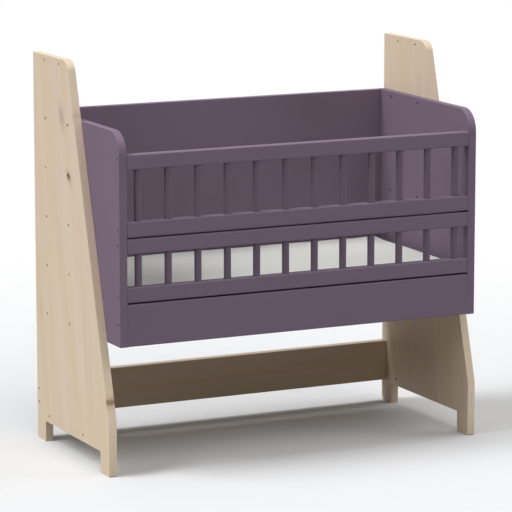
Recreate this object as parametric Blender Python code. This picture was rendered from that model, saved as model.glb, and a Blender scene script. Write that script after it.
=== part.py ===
"""Bedside crib: a lacquered box with two barred gates, bolted between two wooden stands.

Metres, +Z up. The box is long along X, its barred front faces -Y, and the origin is
on the floor at the middle of the crib's outline.
"""

import math

import bmesh
import bpy
from mathutils import Matrix, Vector

# Fits and facets
CLEARANCE = 0.0003
CUT_OVERRUN = 0.002
ROUND_STEPS = 12
DOWEL_STEPS = 16
CORNER_STEPS = 6
EDGE_STEPS = 3
SHARP_ANGLE = math.radians(40)

# Stands
STAND_HEIGHT = 0.890
STAND_DEPTH = 0.419
STAND_TOP_DEPTH = 0.1985
STAND_KINK_HEIGHT = 0.124
STAND_THICKNESS = 0.018
STAND_TOP_RADIUS = 0.030
FOOT_DEPTH = 0.0495
FOOT_NOTCH_HEIGHT = 0.048
FOOT_HEEL_RADIUS = 0.013
FOOT_TOE_RADIUS = 0.003

# Height holes, in two columns down each stand
HOLE_ROWS = 5
HOLE_SPACING = 0.1113
TOP_ROW_HEIGHT = 0.7473
HOLE_COLUMN_INSET = 0.0685
HOLE_COLUMN_SPACING = 0.130
BOX_BOLT_ROWS_APART = 2

# Spare holes near the top and near the feet of each stand
TOP_PAIR_DROP = 0.012
TOP_PAIR_INSET = 0.0665
TOP_PAIR_SPACING = 0.085
LOW_PAIR_HEIGHT = 0.063
LOW_PAIR_INSET = 0.071
LOW_PAIR_SPACING = 0.198

# Rear stretcher
STRETCHER_THICKNESS = 0.022
STRETCHER_BOTTOM = 0.0535
STRETCHER_HEIGHT = 0.0955
STRETCHER_BOLT_SPACING = 0.032
STRETCHER_BOLT_REACH = 0.030

# Bolts through the stands
BOLT_DIAMETER = 0.006
BOLT_SOCKET_WIDTH = 0.0034
BOLT_RECESS = 0.0015

# Box
BOX_LENGTH = 0.877
BOX_DEPTH = 0.440
BOX_BOTTOM = 0.291
BOX_HEIGHT = 0.4687
BOX_BACK_INSET = 0.002
PANEL_THICKNESS = 0.018
PANEL_CORNER_RADIUS = 0.050

# Front of the box, from the bottom up: apron, lower gate, upper gate
FRONT_THICKNESS = 0.022
FRONT_EDGE_RADIUS = 0.003
GATE_GAP = 0.0035
GATE_SIDE_GAP = 0.0008
APRON_HEIGHT = 0.0929
APRON_SCREW_RISE = 0.0494
BOTTOM_RAIL_HEIGHT = 0.0340
TOP_RAIL_HEIGHT = 0.0332
LOWER_GATE_HEIGHT = 0.1398
LOWER_PIVOT_RISE = 0.0130
LOWER_LOCK_DROP = 0.0140
UPPER_GATE_HEIGHT = 0.1803
UPPER_PIVOT_RISE = 0.0140
UPPER_LOCK_DROP = 0.0095

# Dowel bars of both gates
DOWEL_COUNT = 12
DOWEL_DIAMETER = 0.016
DOWEL_END_INSET = 0.0292
DOWEL_SEAT_DEPTH = 0.012

# Pins at the gates' ends, and the screws of the apron
PIN_DIAMETER = 0.005
PIN_SOCKET_WIDTH = 0.0028
PIN_RECESS = 0.001
PIN_REACH = 0.014
PIN_SLOT_EASE = 0.001
SOCKET_DEPTH = 0.003

# Base board, held in grooves round the box
BASE_RISE = 0.045
BASE_THICKNESS = 0.012
GROOVE_DEPTH = 0.005
VENT_DIAMETER = 0.022
VENT_COLUMNS = 6
VENT_COLUMN_SPACING = 0.120
VENT_ROWS = 2
VENT_ROW_SPACING = 0.150

# Mattress
MATTRESS_END_GAP = 0.0170
MATTRESS_SIDE_GAP = 0.0065
MATTRESS_THICKNESS = 0.060
MATTRESS_CROWN = 0.005
MATTRESS_WAIST = 0.0025
MATTRESS_EDGE_RADIUS = 0.006
MATTRESS_CORNER_RADIUS = 0.014
MATTRESS_CORNER_STEPS = 4
MATTRESS_LONG_STEPS = 10
MATTRESS_SHORT_STEPS = 5
MATTRESS_CROWN_REACH = 0.150
MATTRESS_SIDE_SHARES = (0.0, 0.5, 1.0)
MATTRESS_CROWN_SHARES = (0.1, 0.3, 0.6, 1.0)

# Places that follow from the sizes above
BOX_TOP = BOX_BOTTOM + BOX_HEIGHT
OUTLINE_DEPTH = BOX_DEPTH + BOX_BACK_INSET
STAND_BACK_Y = OUTLINE_DEPTH / 2
STAND_FRONT_Y = STAND_BACK_Y - STAND_DEPTH
STAND_TOP_FRONT_Y = STAND_BACK_Y - STAND_TOP_DEPTH
BOX_BACK_Y = STAND_BACK_Y - BOX_BACK_INSET
BOX_FRONT_Y = BOX_BACK_Y - BOX_DEPTH
BOX_END_X = BOX_LENGTH / 2
BOX_INNER_X = BOX_END_X - PANEL_THICKNESS
BOX_INNER_FRONT_Y = BOX_FRONT_Y + FRONT_THICKNESS
BOX_INNER_BACK_Y = BOX_BACK_Y - PANEL_THICKNESS
STAND_INNER_X = BOX_END_X + CLEARANCE
STAND_OUTER_X = STAND_INNER_X + STAND_THICKNESS
HOLE_BACK_Y = STAND_BACK_Y - HOLE_COLUMN_INSET
HOLE_FRONT_Y = HOLE_BACK_Y - HOLE_COLUMN_SPACING
BOX_BOLT_LOW_Z = TOP_ROW_HEIGHT - BOX_BOLT_ROWS_APART * HOLE_SPACING
FRONT_MIDDLE_Y = BOX_FRONT_Y + FRONT_THICKNESS / 2
APRON_TOP = BOX_BOTTOM + APRON_HEIGHT
LOWER_GATE_BOTTOM = APRON_TOP + GATE_GAP
LOWER_GATE_TOP = LOWER_GATE_BOTTOM + LOWER_GATE_HEIGHT
UPPER_GATE_BOTTOM = LOWER_GATE_TOP + GATE_GAP
UPPER_GATE_TOP = UPPER_GATE_BOTTOM + UPPER_GATE_HEIGHT
GATE_END_X = BOX_INNER_X - GATE_SIDE_GAP
PIN_RADIUS = PIN_DIAMETER / 2
BOLT_RADIUS = BOLT_DIAMETER / 2
PIN_INNER_X = BOX_INNER_X - PIN_REACH
BASE_BOTTOM = BOX_BOTTOM + BASE_RISE
BASE_TOP = BASE_BOTTOM + BASE_THICKNESS
BASE_END_X = BOX_INNER_X + GROOVE_DEPTH - CLEARANCE
BASE_FRONT_Y = BOX_INNER_FRONT_Y - GROOVE_DEPTH + CLEARANCE
BASE_BACK_Y = BOX_INNER_BACK_Y + GROOVE_DEPTH - CLEARANCE
STRETCHER_MIDDLE_Y = STAND_BACK_Y - STRETCHER_THICKNESS / 2
STRETCHER_MIDDLE_Z = STRETCHER_BOTTOM + STRETCHER_HEIGHT / 2
MATTRESS_BOTTOM = BASE_TOP + CLEARANCE
MATTRESS_MIDDLE_Y = (BOX_INNER_FRONT_Y + BOX_INNER_BACK_Y) / 2
MATTRESS_END_X = BOX_INNER_X - MATTRESS_END_GAP
MATTRESS_REACH_Y = (BOX_INNER_BACK_Y - BOX_INNER_FRONT_Y) / 2 - MATTRESS_SIDE_GAP

AXES = "XYZ"
SIDES = {"left": -1, "right": 1}


def clear_scene():
    """Remove whatever objects the open file holds."""
    for item in list(bpy.data.objects):
        bpy.data.objects.remove(item, do_unlink=True)


def make_material(name, colour, roughness, metallic=0.0):
    """Plain Principled material."""
    material = bpy.data.materials.new(name)
    material.use_nodes = True
    shader = material.node_tree.nodes["Principled BSDF"]
    shader.inputs["Base Color"].default_value = (*colour, 1.0)
    shader.inputs["Roughness"].default_value = roughness
    shader.inputs["Metallic"].default_value = metallic
    return material


def wood_material():
    """Pale knotty wood of the stands and the stretcher."""
    return make_material("pale_wood", (0.66, 0.53, 0.39), 0.55)


def lacquer_material():
    """Matt aubergine lacquer of the box and the gates."""
    return make_material("aubergine_lacquer", (0.13, 0.10, 0.14), 0.5)


def steel_material():
    """Dark plated steel of the bolts, pins and screws."""
    return make_material("plated_steel", (0.10, 0.10, 0.10), 0.4, 1.0)


def plywood_material():
    """Bare plywood of the base board."""
    return make_material("plywood", (0.60, 0.46, 0.31), 0.6)


def cloth_material():
    """Pale grey-white cover of the mattress."""
    return make_material("mattress_cover", (0.62, 0.62, 0.60), 0.9)


def space_point(axis, along, a, b):
    """Point from a distance along one axis and the two other coordinates in order."""
    point = [a, b]
    point.insert(AXES.index(axis), along)
    return point


def rectangle(a_low, a_high, b_low, b_high):
    """Outline of a rectangle."""
    return [(a_low, b_low), (a_high, b_low), (a_high, b_high), (a_low, b_high)]


def circle(a, b, radius, steps=ROUND_STEPS):
    """Outline of a circle round (a, b)."""
    turns = [math.tau * step / steps for step in range(steps)]
    return [(a + radius * math.cos(turn), b + radius * math.sin(turn)) for turn in turns]


def rounded_outline(corners, steps):
    """Outline through corners (a, b, radius), with an arc where the radius is over zero."""
    points = []
    for index, (a, b, radius) in enumerate(corners):
        corner = Vector((a, b))
        if not radius:
            points.append(corner)
            continue
        before = (Vector(corners[index - 1][:2]) - corner).normalized()
        after = (Vector(corners[(index + 1) % len(corners)][:2]) - corner).normalized()
        half_angle = before.angle(after) / 2
        tangent = radius / math.tan(half_angle)
        centre = corner + (before + after).normalized() * (radius / math.sin(half_angle))
        start = corner + before * tangent - centre
        end = corner + after * tangent - centre
        first = math.atan2(start.y, start.x)
        sweep = math.remainder(math.atan2(end.y, end.x) - first, math.tau)
        for step in range(steps + 1):
            turn = first + sweep * step / steps
            points.append(centre + Vector((math.cos(turn), math.sin(turn))) * radius)
    return points


def join_rings(bm, rings):
    """Skin of quads between closed rings of points, shut by a face at each end."""
    loops = [[bm.verts.new(point) for point in ring] for ring in rings]
    bm.faces.new(loops[0])
    bm.faces.new(loops[-1])
    for lower, upper in zip(loops, loops[1:]):
        for index in range(len(lower)):
            bm.faces.new((lower[index - 1], lower[index], upper[index], upper[index - 1]))


def mesh_of(name, ring_sets):
    """Mesh with one closed skin for each set of rings."""
    bm = bmesh.new()
    for rings in ring_sets:
        join_rings(bm, rings)
    bmesh.ops.recalc_face_normals(bm, faces=bm.faces)
    mesh = bpy.data.meshes.new(name)
    bm.to_mesh(mesh)
    bm.free()
    return mesh


def prism_rings(axis, outline, low, high):
    """End rings of a straight solid over an outline."""
    return [[space_point(axis, along, a, b) for a, b in outline] for along in (low, high)]


def place(mesh, name, pivot=None):
    """Link a mesh modelled in place as an object whose origin is at its pivot."""
    piece = bpy.data.objects.new(name, mesh)
    bpy.context.scene.collection.objects.link(piece)
    if pivot:
        mesh.transform(Matrix.Translation(-pivot.location))
        piece.parent = pivot
    return piece


def add_piece(name, rings, material, pivot=None, smooth=False):
    """One named solid piece of the crib."""
    mesh = mesh_of(name, [rings])
    mesh.materials.append(material)
    if smooth:
        mesh.shade_smooth()
        mesh.set_sharp_from_angle(angle=SHARP_ANGLE)
    return place(mesh, name, pivot)


def add_pivot(name, location):
    """Empty on a joint's axis, which carries the pieces that move there."""
    pivot = bpy.data.objects.new(name, None)
    pivot.location = location
    bpy.context.scene.collection.objects.link(pivot)
    return pivot


def cut(piece, prisms):
    """Cut straight holes, slots and grooves out of a piece with one Boolean."""
    name = piece.name + "_cutter"
    mesh = mesh_of(name, [prism_rings(*prism) for prism in prisms])
    cutter = place(mesh, name, piece.parent)
    cutter.hide_render = True
    cutter.display_type = "WIRE"
    boolean = piece.modifiers.new("holes", "BOOLEAN")
    boolean.operation = "DIFFERENCE"
    boolean.solver = "EXACT"
    boolean.object = cutter


def hole(y, z, radius, inner_x, outer_x, sign):
    """Round hole along X between two distances from the middle, on one side."""
    low, high = sorted((sign * inner_x, sign * outer_x))
    return "X", circle(y, z, radius + CLEARANCE), low, high


def add_fastener(name, sign, outer_x, inner_x, y, z, radius, socket_width, material):
    """Headless bolt or pin along X, with a hexagon socket in its outer end."""
    steps = range(ROUND_STEPS)
    turns = [math.tau * step / ROUND_STEPS for step in steps]
    corner_radius = socket_width / math.sqrt(3)
    flat_radius = socket_width / 2
    socket_radii = [corner_radius if step % 2 == 0 else flat_radius for step in steps]
    body_radii = [radius for step in steps]

    def ring(x, radii):
        return [(sign * x, y + reach * math.cos(turn), z + reach * math.sin(turn))
                for reach, turn in zip(radii, turns)]

    rings = [ring(outer_x - SOCKET_DEPTH, socket_radii),
             ring(outer_x, socket_radii),
             ring(outer_x, body_radii),
             ring(inner_x, body_radii)]
    return add_piece(name, rings, material, smooth=True)


def stand_outline():
    """Side view of a stand: upright back, sloping front, two feet."""
    corners = [
        (STAND_BACK_Y, STAND_HEIGHT, 0),
        (STAND_BACK_Y, 0, FOOT_HEEL_RADIUS),
        (STAND_BACK_Y - FOOT_DEPTH, 0, 0),
        (STAND_BACK_Y - FOOT_DEPTH, FOOT_NOTCH_HEIGHT, 0),
        (STAND_FRONT_Y + FOOT_DEPTH, FOOT_NOTCH_HEIGHT, 0),
        (STAND_FRONT_Y + FOOT_DEPTH, 0, FOOT_HEEL_RADIUS),
        (STAND_FRONT_Y, 0, FOOT_TOE_RADIUS),
        (STAND_FRONT_Y, STAND_KINK_HEIGHT, 0),
        (STAND_TOP_FRONT_Y, STAND_HEIGHT, STAND_TOP_RADIUS),
    ]
    return rounded_outline(corners, CORNER_STEPS)


def stretcher_bolt_places():
    """Places of the two bolts at each end of the stretcher, as (y, z)."""
    reach = STRETCHER_BOLT_SPACING / 2
    return {"upper": (STRETCHER_MIDDLE_Y, STRETCHER_MIDDLE_Z + reach),
            "lower": (STRETCHER_MIDDLE_Y, STRETCHER_MIDDLE_Z - reach)}


def box_bolt_places():
    """Places of the four bolts at each end of the box, as (y, z)."""
    return {"top_back": (HOLE_BACK_Y, TOP_ROW_HEIGHT),
            "top_front": (HOLE_FRONT_Y, TOP_ROW_HEIGHT),
            "low_back": (HOLE_BACK_Y, BOX_BOLT_LOW_Z),
            "low_front": (HOLE_FRONT_Y, BOX_BOLT_LOW_Z)}


def stand_hole_places():
    """Places of every hole through a stand, as (y, z)."""
    places = list(stretcher_bolt_places().values())
    for row in range(HOLE_ROWS):
        height = TOP_ROW_HEIGHT - row * HOLE_SPACING
        places += [(HOLE_BACK_Y, height), (HOLE_FRONT_Y, height)]
    top_height = STAND_HEIGHT - TOP_PAIR_DROP
    top_back_y = STAND_BACK_Y - TOP_PAIR_INSET
    low_back_y = STAND_BACK_Y - LOW_PAIR_INSET
    places += [(top_back_y, top_height), (top_back_y - TOP_PAIR_SPACING, top_height)]
    places += [(low_back_y, LOW_PAIR_HEIGHT), (low_back_y - LOW_PAIR_SPACING, LOW_PAIR_HEIGHT)]
    return places


def add_stand(side, sign, material):
    """One stand, drilled for the bolts and with its ladder of height holes."""
    low, high = sorted((sign * STAND_INNER_X, sign * STAND_OUTER_X))
    rings = prism_rings("X", stand_outline(), low, high)
    stand = add_piece("stand_" + side, rings, material)
    cut(stand, [hole(y, z, BOLT_RADIUS, STAND_INNER_X - CUT_OVERRUN,
                     STAND_OUTER_X + CUT_OVERRUN, sign)
                for y, z in stand_hole_places()])


def add_stretcher(material):
    """Rear board between the stands, flush with their back edges."""
    outline = rectangle(STAND_BACK_Y - STRETCHER_THICKNESS, STAND_BACK_Y,
                        STRETCHER_BOTTOM, STRETCHER_BOTTOM + STRETCHER_HEIGHT)
    rings = prism_rings("X", outline, -BOX_END_X, BOX_END_X)
    stretcher = add_piece("rear_stretcher", rings, material)
    bore_end = BOX_END_X - STRETCHER_BOLT_REACH - CLEARANCE
    cut(stretcher, [hole(y, z, BOLT_RADIUS, bore_end, BOX_END_X + CUT_OVERRUN, sign)
                    for sign in SIDES.values()
                    for y, z in stretcher_bolt_places().values()])


def add_bolts(material):
    """Bolts that hold the box and the stretcher to the stands."""
    outer_x = STAND_OUTER_X - BOLT_RECESS
    for side, sign in SIDES.items():
        for spot, (y, z) in box_bolt_places().items():
            add_fastener("box_bolt_" + side + "_" + spot, sign, outer_x,
                         BOX_INNER_X + BOLT_RECESS, y, z, BOLT_RADIUS,
                         BOLT_SOCKET_WIDTH, material)
        for spot, (y, z) in stretcher_bolt_places().items():
            add_fastener("stretcher_bolt_" + side + "_" + spot, sign, outer_x,
                         BOX_END_X - STRETCHER_BOLT_REACH, y, z, BOLT_RADIUS,
                         BOLT_SOCKET_WIDTH, material)


def pin_places():
    """Places of the gates' pins and the apron's screw at each end, as (y, z)."""
    heights = {"lower_gate_pivot_pin": LOWER_GATE_BOTTOM + LOWER_PIVOT_RISE,
               "lower_gate_lock_pin": LOWER_GATE_TOP - LOWER_LOCK_DROP,
               "upper_gate_pivot_pin": UPPER_GATE_BOTTOM + UPPER_PIVOT_RISE,
               "upper_gate_lock_pin": UPPER_GATE_TOP - UPPER_LOCK_DROP,
               "apron_screw": BOX_BOTTOM + APRON_SCREW_RISE}
    return {name: (FRONT_MIDDLE_Y, height) for name, height in heights.items()}


def add_pins(material):
    """Pins and screws, set in from the outer faces of the end panels."""
    for side, sign in SIDES.items():
        for name, (y, z) in pin_places().items():
            add_fastener(name + "_" + side, sign, BOX_END_X - PIN_RECESS, PIN_INNER_X,
                         y, z, PIN_RADIUS, PIN_SOCKET_WIDTH, material)


def pin_bore(name, sign):
    """Bore for a pin or screw in the end of a front piece."""
    y, z = pin_places()[name]
    return hole(y, z, PIN_RADIUS, PIN_INNER_X - CLEARANCE, BOX_INNER_X + CUT_OVERRUN, sign)


def add_end_panel(side, sign, material):
    """End of the box, with one round corner, bolt and pin holes and the base groove."""
    corners = [(BOX_BACK_Y, BOX_TOP, 0),
               (BOX_BACK_Y, BOX_BOTTOM, 0),
               (BOX_FRONT_Y, BOX_BOTTOM, 0),
               (BOX_FRONT_Y, BOX_TOP, PANEL_CORNER_RADIUS)]
    low, high = sorted((sign * BOX_INNER_X, sign * BOX_END_X))
    rings = prism_rings("X", rounded_outline(corners, CORNER_STEPS), low, high)
    panel = add_piece("end_panel_" + side, rings, material)
    near_x = BOX_INNER_X - CUT_OVERRUN
    far_x = BOX_END_X + CUT_OVERRUN
    cuts = [hole(y, z, BOLT_RADIUS, near_x, far_x, sign)
            for y, z in box_bolt_places().values()]
    cuts += [hole(y, z, PIN_RADIUS, near_x, far_x, sign) for y, z in pin_places().values()]
    groove = rectangle(BASE_FRONT_Y - CLEARANCE, BASE_BACK_Y + CLEARANCE,
                       BASE_BOTTOM - CLEARANCE, BASE_TOP + CLEARANCE)
    groove_low, groove_high = sorted((sign * near_x, sign * (BOX_INNER_X + GROOVE_DEPTH)))
    cuts.append(("X", groove, groove_low, groove_high))
    cut(panel, cuts)


def add_back_panel(material):
    """Back of the box, between the end panels."""
    end_x = BOX_INNER_X - CLEARANCE
    outline = rectangle(BOX_INNER_BACK_Y, BOX_BACK_Y, BOX_BOTTOM, BOX_TOP)
    rings = prism_rings("X", outline, -end_x, end_x)
    panel = add_piece("back_panel", rings, material)
    groove = rectangle(BOX_INNER_BACK_Y - CUT_OVERRUN, BASE_BACK_Y + CLEARANCE,
                       BASE_BOTTOM - CLEARANCE, BASE_TOP + CLEARANCE)
    cut(panel, [("X", groove, -BOX_INNER_X, BOX_INNER_X)])


def front_rail_rings(bottom, top, end_x):
    """Rings of a long front piece with softly rounded edges."""
    corners = [(a, b, FRONT_EDGE_RADIUS)
               for a, b in rectangle(BOX_FRONT_Y, BOX_INNER_FRONT_Y, bottom, top)]
    return prism_rings("X", rounded_outline(corners, EDGE_STEPS), -end_x, end_x)


def add_apron(material):
    """Fixed front board below the gates, grooved for the base board."""
    end_x = BOX_INNER_X - CLEARANCE
    apron = add_piece("front_apron", front_rail_rings(BOX_BOTTOM, APRON_TOP, end_x), material)
    groove = rectangle(BASE_FRONT_Y - CLEARANCE, BOX_INNER_FRONT_Y + CUT_OVERRUN,
                       BASE_BOTTOM - CLEARANCE, BASE_TOP + CLEARANCE)
    cuts = [pin_bore("apron_screw", sign) for sign in SIDES.values()]
    cuts.append(("X", groove, -BOX_INNER_X, BOX_INNER_X))
    cut(apron, cuts)


def add_base_board(material):
    """Board under the mattress, in the grooves, with vent holes."""
    outline = rectangle(-BASE_END_X, BASE_END_X, BASE_FRONT_Y, BASE_BACK_Y)
    rings = prism_rings("Z", outline, BASE_BOTTOM, BASE_TOP)
    board = add_piece("base_board", rings, material)
    first_x = -VENT_COLUMN_SPACING * (VENT_COLUMNS - 1) / 2
    first_y = MATTRESS_MIDDLE_Y - VENT_ROW_SPACING * (VENT_ROWS - 1) / 2
    cut(board, [("Z", circle(first_x + column * VENT_COLUMN_SPACING,
                                 first_y + row * VENT_ROW_SPACING, VENT_DIAMETER / 2),
                 BASE_BOTTOM - CUT_OVERRUN, BASE_TOP + CUT_OVERRUN)
                for column in range(VENT_COLUMNS)
                for row in range(VENT_ROWS)])


def lock_slot(y, z, sign):
    """Slot for a lock pin in the end of a top rail, open at the rail's inner face."""
    reach = PIN_RADIUS + PIN_SLOT_EASE
    outline = rectangle(y - reach, BOX_INNER_FRONT_Y + CUT_OVERRUN, z - reach, z + reach)
    low, high = sorted((sign * (PIN_INNER_X - CLEARANCE), sign * (BOX_INNER_X + CUT_OVERRUN)))
    return "X", outline, low, high


def dowel_seats(low, high):
    """Round seats for all the dowels of a gate between two heights."""
    radius = DOWEL_DIAMETER / 2 + CLEARANCE
    return [("Z", circle(x, FRONT_MIDDLE_Y, radius, DOWEL_STEPS), low, high)
            for x in dowel_places()]


def dowel_places():
    """Distances of the dowels along the gate."""
    end_x = GATE_END_X - DOWEL_END_INSET
    spacing = 2 * end_x / (DOWEL_COUNT - 1)
    return [index * spacing - end_x for index in range(DOWEL_COUNT)]


def add_gate(name, bottom, top, material):
    """Barred gate: two rails and their dowels, which turn about the pivot pins."""
    pivot_y, pivot_z = pin_places()[name + "_pivot_pin"]
    lock_y, lock_z = pin_places()[name + "_lock_pin"]
    pivot = add_pivot(name + "_axis", (0, pivot_y, pivot_z))
    opening_low = bottom + BOTTOM_RAIL_HEIGHT
    opening_high = top - TOP_RAIL_HEIGHT

    rings = front_rail_rings(bottom, opening_low, GATE_END_X)
    lower = add_piece(name + "_bottom_rail", rings, material, pivot)
    cuts = dowel_seats(opening_low - DOWEL_SEAT_DEPTH, opening_low + CUT_OVERRUN)
    cuts += [pin_bore(name + "_pivot_pin", sign) for sign in SIDES.values()]
    cut(lower, cuts)

    rings = front_rail_rings(opening_high, top, GATE_END_X)
    upper = add_piece(name + "_top_rail", rings, material, pivot)
    cuts = dowel_seats(opening_high - CUT_OVERRUN, opening_high + DOWEL_SEAT_DEPTH)
    cuts += [lock_slot(lock_y, lock_z, sign) for sign in SIDES.values()]
    cut(upper, cuts)

    low = opening_low - DOWEL_SEAT_DEPTH + CLEARANCE
    high = opening_high + DOWEL_SEAT_DEPTH - CLEARANCE
    for index, x in enumerate(dowel_places()):
        outline = circle(x, FRONT_MIDDLE_Y, DOWEL_DIAMETER / 2, DOWEL_STEPS)
        add_piece(name + "_dowel_" + str(index + 1).zfill(2),
                  prism_rings("Z", outline, low, high), material, pivot, smooth=True)


def cushion_ring(inset, z):
    """Ring round the mattress, set in from its outline, with round corners."""
    half_length = MATTRESS_END_X - inset
    half_width = MATTRESS_REACH_Y - inset
    radius = max(MATTRESS_CORNER_RADIUS - inset, MATTRESS_EDGE_RADIUS)
    long_reach = half_length - radius
    short_reach = half_width - radius
    quarter = math.pi / 2
    middles = ((long_reach, short_reach), (-long_reach, short_reach),
               (-long_reach, -short_reach), (long_reach, -short_reach))
    points = []
    for index, (x, y) in enumerate(middles):
        for step in range(MATTRESS_CORNER_STEPS + 1):
            turn = quarter * (index + step / MATTRESS_CORNER_STEPS)
            points.append(Vector((x + radius * math.cos(turn), y + radius * math.sin(turn))))
        next_x, next_y = middles[(index + 1) % len(middles)]
        turn = quarter * (index + 1)
        following = Vector((next_x + radius * math.cos(turn), next_y + radius * math.sin(turn)))
        steps = MATTRESS_LONG_STEPS if index % 2 == 0 else MATTRESS_SHORT_STEPS
        last = points[-1]
        points += [last.lerp(following, step / steps) for step in range(1, steps)]
    return [(point.x, point.y + MATTRESS_MIDDLE_Y, z) for point in points]


def mattress_rings():
    """Rings of the mattress: flat underside, sides drawn in between seams, low crown."""
    edge = MATTRESS_EDGE_RADIUS
    bottom = MATTRESS_BOTTOM
    top = bottom + MATTRESS_THICKNESS
    rings = [cushion_ring(edge, bottom)]
    for share in MATTRESS_SIDE_SHARES:
        inset = MATTRESS_WAIST * math.sin(math.pi * share)
        rings.append(cushion_ring(inset, bottom + edge + (top - bottom - 2 * edge) * share))
    for share in MATTRESS_CROWN_SHARES:
        inset = edge + (MATTRESS_CROWN_REACH - edge) * share ** 2
        rings.append(cushion_ring(inset, top + MATTRESS_CROWN * math.sin(math.pi / 2 * share)))
    return rings


def add_mattress(material):
    """Loose mattress, which lifts straight out of the box."""
    seat = add_pivot("mattress_seat", (0, MATTRESS_MIDDLE_Y, MATTRESS_BOTTOM))
    add_piece("mattress", mattress_rings(), material, seat, smooth=True)


def main():
    """Build the whole crib."""
    clear_scene()
    wood = wood_material()
    lacquer = lacquer_material()
    steel = steel_material()
    for side, sign in SIDES.items():
        add_stand(side, sign, wood)
        add_end_panel(side, sign, lacquer)
    add_stretcher(wood)
    add_bolts(steel)
    add_back_panel(lacquer)
    add_apron(lacquer)
    add_gate("lower_gate", LOWER_GATE_BOTTOM, LOWER_GATE_TOP, lacquer)
    add_gate("upper_gate", UPPER_GATE_BOTTOM, UPPER_GATE_TOP, lacquer)
    add_pins(steel)
    add_base_board(plywood_material())
    add_mattress(cloth_material())


if __name__ == "__main__":
    main()
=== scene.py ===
"""Looks of a bedside crib: wooden stands, lacquered box, fold-down barred gates, mattress.

Every size is in metres. Boards are rounded copies of the CAD solids, dowels, bolts and
stitches are Geometry Nodes rows, and the mattress is a pressed cloth shell.
"""

import math

import bmesh
import bpy
import numpy as np
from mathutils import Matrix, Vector, noise
from mathutils.bvhtree import BVHTree


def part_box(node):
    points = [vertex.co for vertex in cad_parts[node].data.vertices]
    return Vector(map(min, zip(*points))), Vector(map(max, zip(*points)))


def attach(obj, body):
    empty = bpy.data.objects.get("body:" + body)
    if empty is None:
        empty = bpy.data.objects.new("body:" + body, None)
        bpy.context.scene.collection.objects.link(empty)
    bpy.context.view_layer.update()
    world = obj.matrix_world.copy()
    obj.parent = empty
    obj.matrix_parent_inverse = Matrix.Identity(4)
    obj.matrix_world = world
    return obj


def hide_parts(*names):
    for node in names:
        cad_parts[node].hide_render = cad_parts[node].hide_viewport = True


bl_info = {
    "name": "Bedside crib",
    "version": (1, 0, 0),
    "blender": (4, 5, 0),
    "location": "3D view, sidebar, Crib tab",
    "description": "Finishes the pieces of a bedside crib",
    "category": "Object",
}

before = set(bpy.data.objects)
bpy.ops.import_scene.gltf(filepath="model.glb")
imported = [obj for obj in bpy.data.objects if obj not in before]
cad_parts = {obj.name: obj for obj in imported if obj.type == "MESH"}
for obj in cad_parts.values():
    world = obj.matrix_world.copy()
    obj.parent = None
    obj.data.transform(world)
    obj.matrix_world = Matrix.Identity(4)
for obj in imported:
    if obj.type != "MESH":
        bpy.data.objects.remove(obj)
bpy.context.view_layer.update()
FRAME_BODY = "crib_frame"
GATES = ("lower_gate", "upper_gate")
SIDES = ("left", "right")


# Settings

def length_field(name, text, default, low=0.0):
    """Length in metres."""
    return bpy.props.FloatProperty(name=name, description=text, default=default, min=low,
                                   subtype="DISTANCE", unit="LENGTH", precision=5)


def angle_field(name, text, default):
    """Angle, given in degrees."""
    return bpy.props.FloatProperty(name=name, description=text, default=math.radians(default),
                                   subtype="ANGLE", unit="ROTATION")


def share_field(name, text, default):
    """Share from 0 to 1."""
    return bpy.props.FloatProperty(name=name, description=text, default=default,
                                   min=0, max=1, subtype="FACTOR")


def level_field(name, text, default):
    """Strength of light."""
    return bpy.props.FloatProperty(name=name, description=text, default=default, min=0)


def colour_field(name, text, default):
    """Colour."""
    return bpy.props.FloatVectorProperty(name=name, description=text, default=default,
                                         min=0, max=1, size=3, subtype="COLOR")


class CribWood(bpy.types.PropertyGroup):
    """Pale knotty wood of the stands and the stretcher."""

    cream: colour_field("Cream", "Palest bands of the wood", (0.668, 0.560, 0.438))
    tan: colour_field("Tan", "Warm bands of the wood", (0.613, 0.483, 0.352))
    knot: colour_field("Knot", "Heart of a knot", (0.09, 0.045, 0.02))
    arris: length_field("Arris", "Radius sanded on the edges", 0.0012)
    lean: bpy.props.FloatProperty(
        name="Lean", description="Sideways drift of the grain for each metre along it",
        min=-1, max=1, default=0.13)


class CribLacquer(bpy.types.PropertyGroup):
    """Matt aubergine lacquer of the box and the gates."""

    colour: colour_field("Colour", "Colour of the lacquer", (0.174, 0.130, 0.179))
    roughness: share_field("Roughness", "How matt the lacquer is", 0.62)
    arris: length_field("Arris", "Radius on the edges of the lacquered boards", 0.0008)
    stipple: length_field("Stipple", "Width of the spray grain", 0.0014, 0.0001)


class CribDowels(bpy.types.PropertyGroup):
    """Round bars of the gates."""

    facets: bpy.props.IntProperty(
        name="Facets", description="Sides of each round bar", min=8, default=40)
    # Painted shade: the bars' lacquer is darkened to stand in for the shade that the rails above
    # throw on them.
    tone: share_field("Painted shade", "Darker lacquer on the bars as painted shade from the rails above", 0.81)


class CribFasteners(bpy.types.PropertyGroup):
    """Headless bolts, pins and screws with a hexagon socket."""

    steel: colour_field("Steel", "Colour of the dark plated steel", (0.030, 0.028, 0.026))
    facets: bpy.props.IntProperty(
        name="Facets", description="Sides of each bolt", min=8, default=28)
    socket_depth: length_field("Socket depth", "Depth of the hexagon socket", 0.003)


class CribBase(bpy.types.PropertyGroup):
    """Plywood board under the mattress."""

    veneer: colour_field("Veneer", "Colour of the plywood's face", (0.62, 0.47, 0.31))
    ply: length_field("Ply", "Thickness of each layer", 0.00133, 0.0001)


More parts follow.
